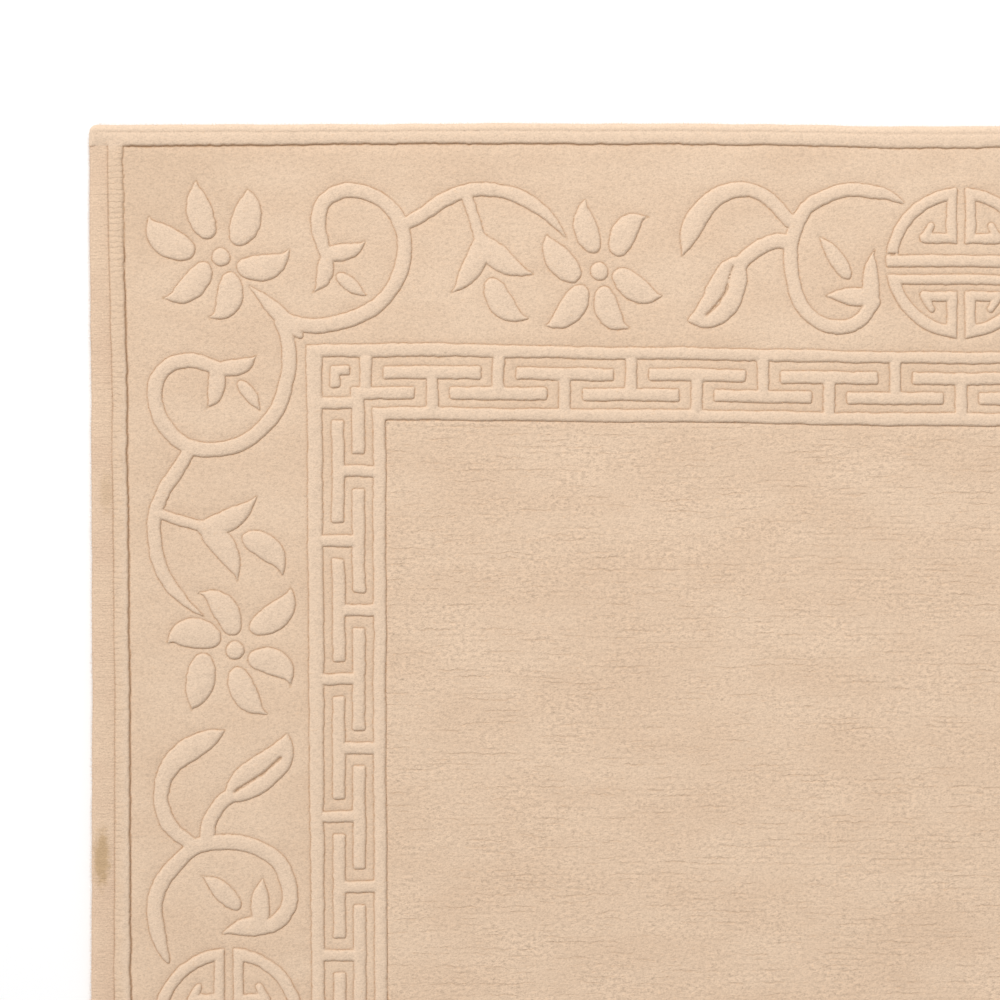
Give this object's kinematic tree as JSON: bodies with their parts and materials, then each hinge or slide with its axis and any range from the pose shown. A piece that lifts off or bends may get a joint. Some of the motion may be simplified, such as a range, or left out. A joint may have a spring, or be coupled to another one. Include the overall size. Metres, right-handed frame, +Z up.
{
  "type": "wool rug",
  "caption": "Rectangular hand-carved wool pile rug, one shade of cream, with a raised vine border, round fretwork medallions and a key-fret frame around a plain field.",
  "frame": {"origin": "middle of the underside, on the floor", "axes": "+Z up from the floor through the pile, +Y along the rug's length, +X across its width"},
  "size_m": [1.83, 2.76, 0.015],
  "materials": {
    "pile_wool": "matt sheared wool pile",
    "binding_wool": "matt overcast wool yarn"
  },
  "bodies": {
    "root": {"rug_body": "pile_wool", "side_binding_left": "binding_wool", "side_binding_right": "binding_wool"}
  },
  "joints": []
}
